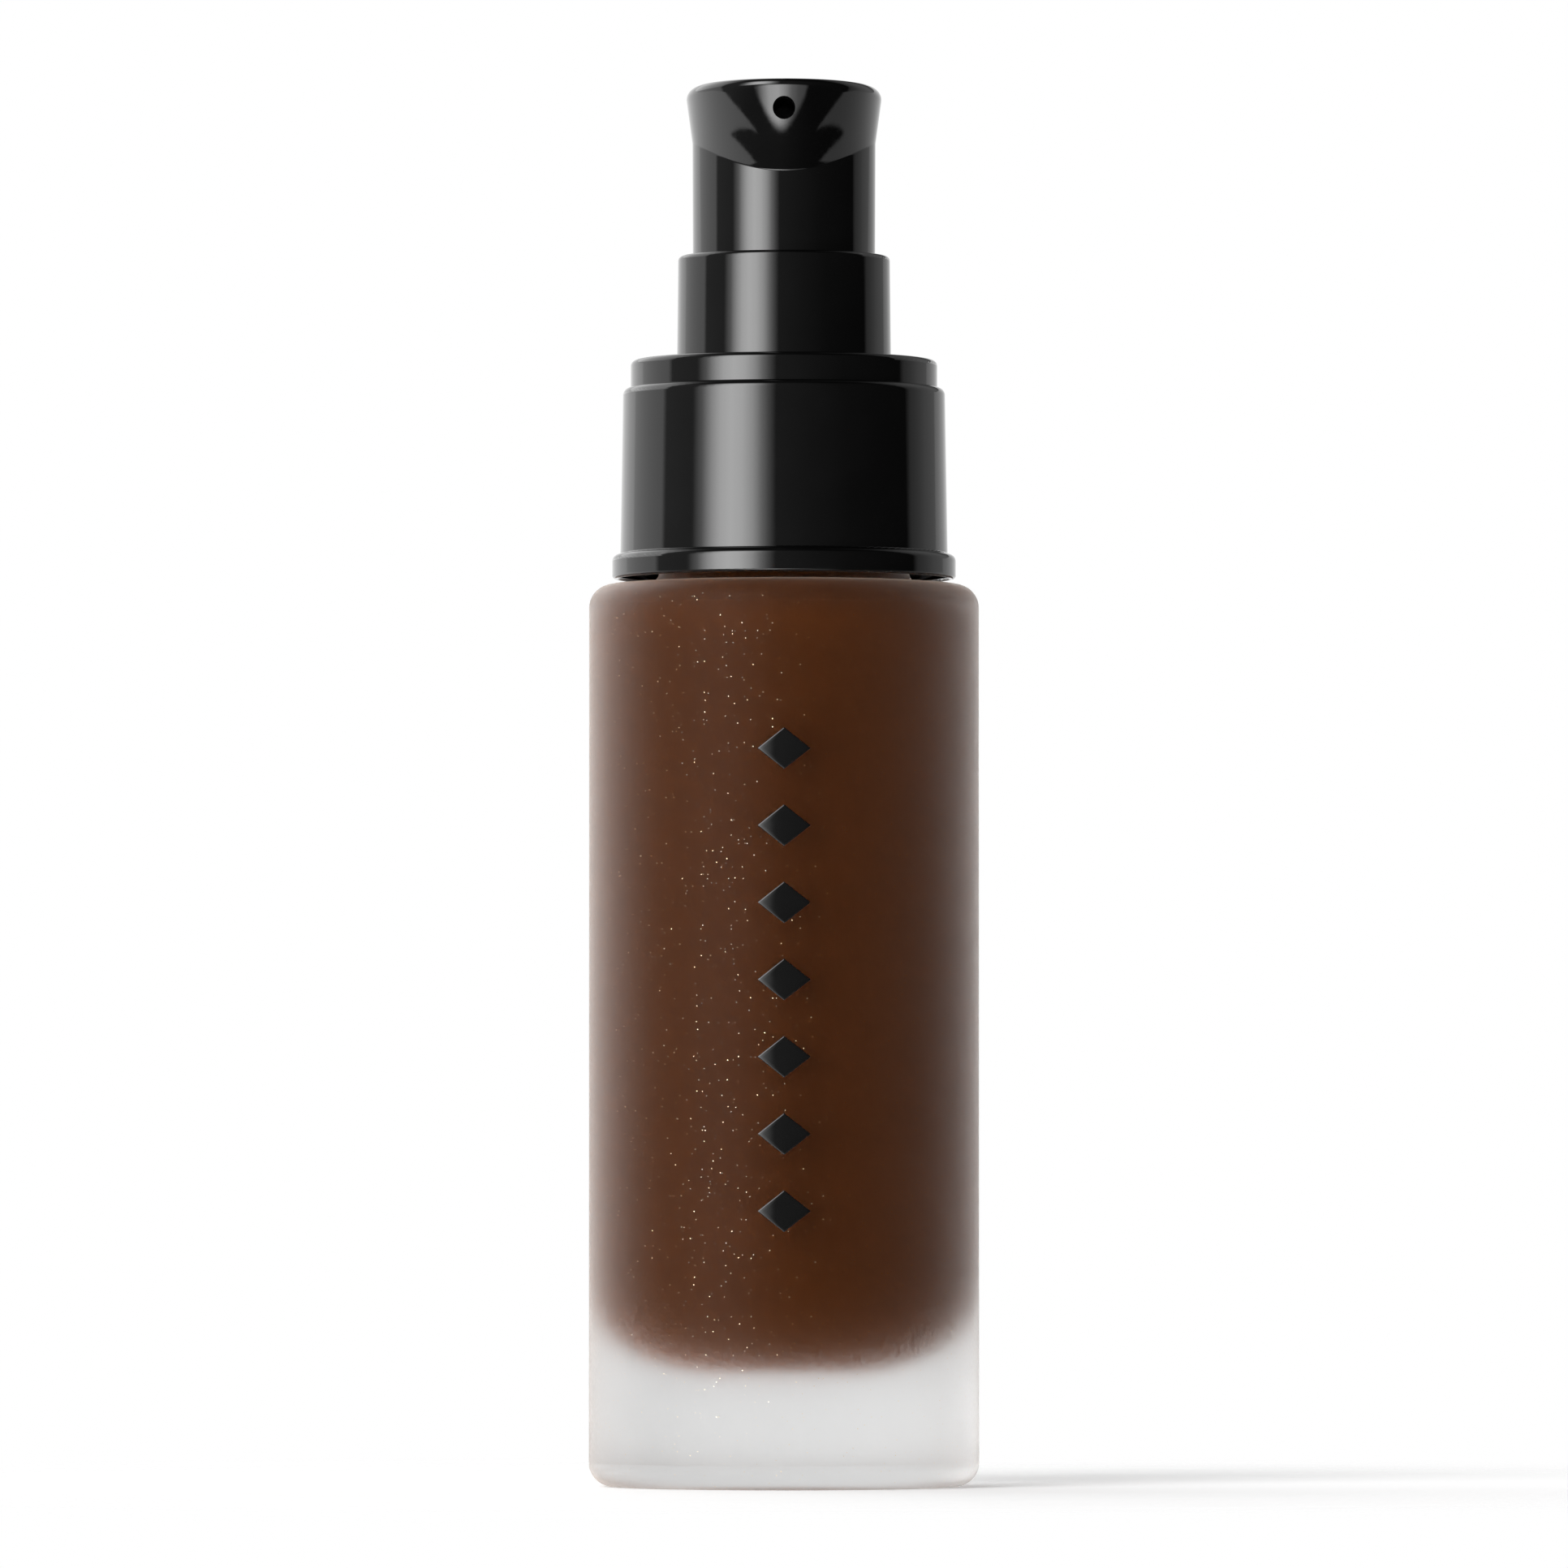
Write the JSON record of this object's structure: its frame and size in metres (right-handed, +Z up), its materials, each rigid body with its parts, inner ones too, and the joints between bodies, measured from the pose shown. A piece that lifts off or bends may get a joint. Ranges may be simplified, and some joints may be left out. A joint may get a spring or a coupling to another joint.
{
  "type": "foundation bottle",
  "caption": "Round frosted glass foundation bottle with a thick clear base, filled with dark brown liquid, and a black press-down screw-on dispensing pump with a flared head.",
  "frame": {"origin": "centre of the bottle's base, on the surface that it stands on", "axes": "+Z up along the bottle's axis; the nozzle looks along -Y; +X to the right of someone facing the nozzle"},
  "size_m": [0.034, 0.0341, 0.122],
  "materials": {
    "frosted_glass": "frosted outside, smooth inside",
    "foundation": "opaque dark brown cream with fine shimmer",
    "black_foil": "glossy black foil print",
    "black_gloss": "glossy black moulded plastic",
    "inner_black_plastic": "satin black moulded plastic",
    "natural_plastic": "uncoloured moulded plastic",
    "clear_tube": "uncoloured soft tube",
    "soft_seal": "soft pale seal",
    "spring_steel": "bright drawn steel"
  },
  "bodies": {
    "bottle": {"glass_bottle": "frosted_glass", "foundation_liquid": "foundation", "front_foil_marks": "black_foil"},
    "pump": {"neck_gasket": "soft_seal", "pump_housing": "natural_plastic", "housing_cap": "natural_plastic", "stem_seal": "soft_seal", "main_spring": "spring_steel", "dip_tube": "clear_tube"},
    "closure": {"screw_closure": "inner_black_plastic", "collar_shell": "black_gloss", "guide_sleeve": "black_gloss"},
    "plunger": {"stem": "natural_plastic", "stem_plug": "natural_plastic"},
    "button": {"actuator_shell": "black_gloss", "actuator_core": "inner_black_plastic"},
    "piston_sleeve": {"piston": "natural_plastic"},
    "valve_ball": {"inlet_ball": "spring_steel"}
  },
  "joints": [
    {"name": "pump_lift", "type": "slide", "parent": "bottle", "child": "pump", "axis": [0, 0, 1], "range_m": [0, 0.00476]},
    {"name": "closure_turn", "type": "hinge", "parent": "pump", "child": "closure", "pos_m": [0, 0, 0.0916], "axis": [0, 0, 1], "range_deg": [0, 540.1]},
    {"name": "actuator_press", "type": "slide", "parent": "pump", "child": "plunger", "axis": [0, 0, -1], "range_m": [0, 0.0055], "stiffness_N_per_m": 790, "springref_m": -0.0045, "deforming": ["main_spring"]},
    {"name": "actuator_turn", "type": "hinge", "parent": "plunger", "child": "button", "pos_m": [0, 0, 0.117], "axis": [0, 0, 1], "continuous": true},
    {"name": "piston_slip", "type": "slide", "parent": "plunger", "child": "piston_sleeve", "axis": [0, 0, 1], "range_m": [0, 0.0009]},
    {"name": "ball_lift", "type": "slide", "parent": "pump", "child": "valve_ball", "axis": [0, 0, 1], "range_m": [0, 0.0009]}
  ],
  "couplings": [
    {"joint": "closure_turn", "follows": "pump_lift", "rad_per_m": 1979}
  ]
}
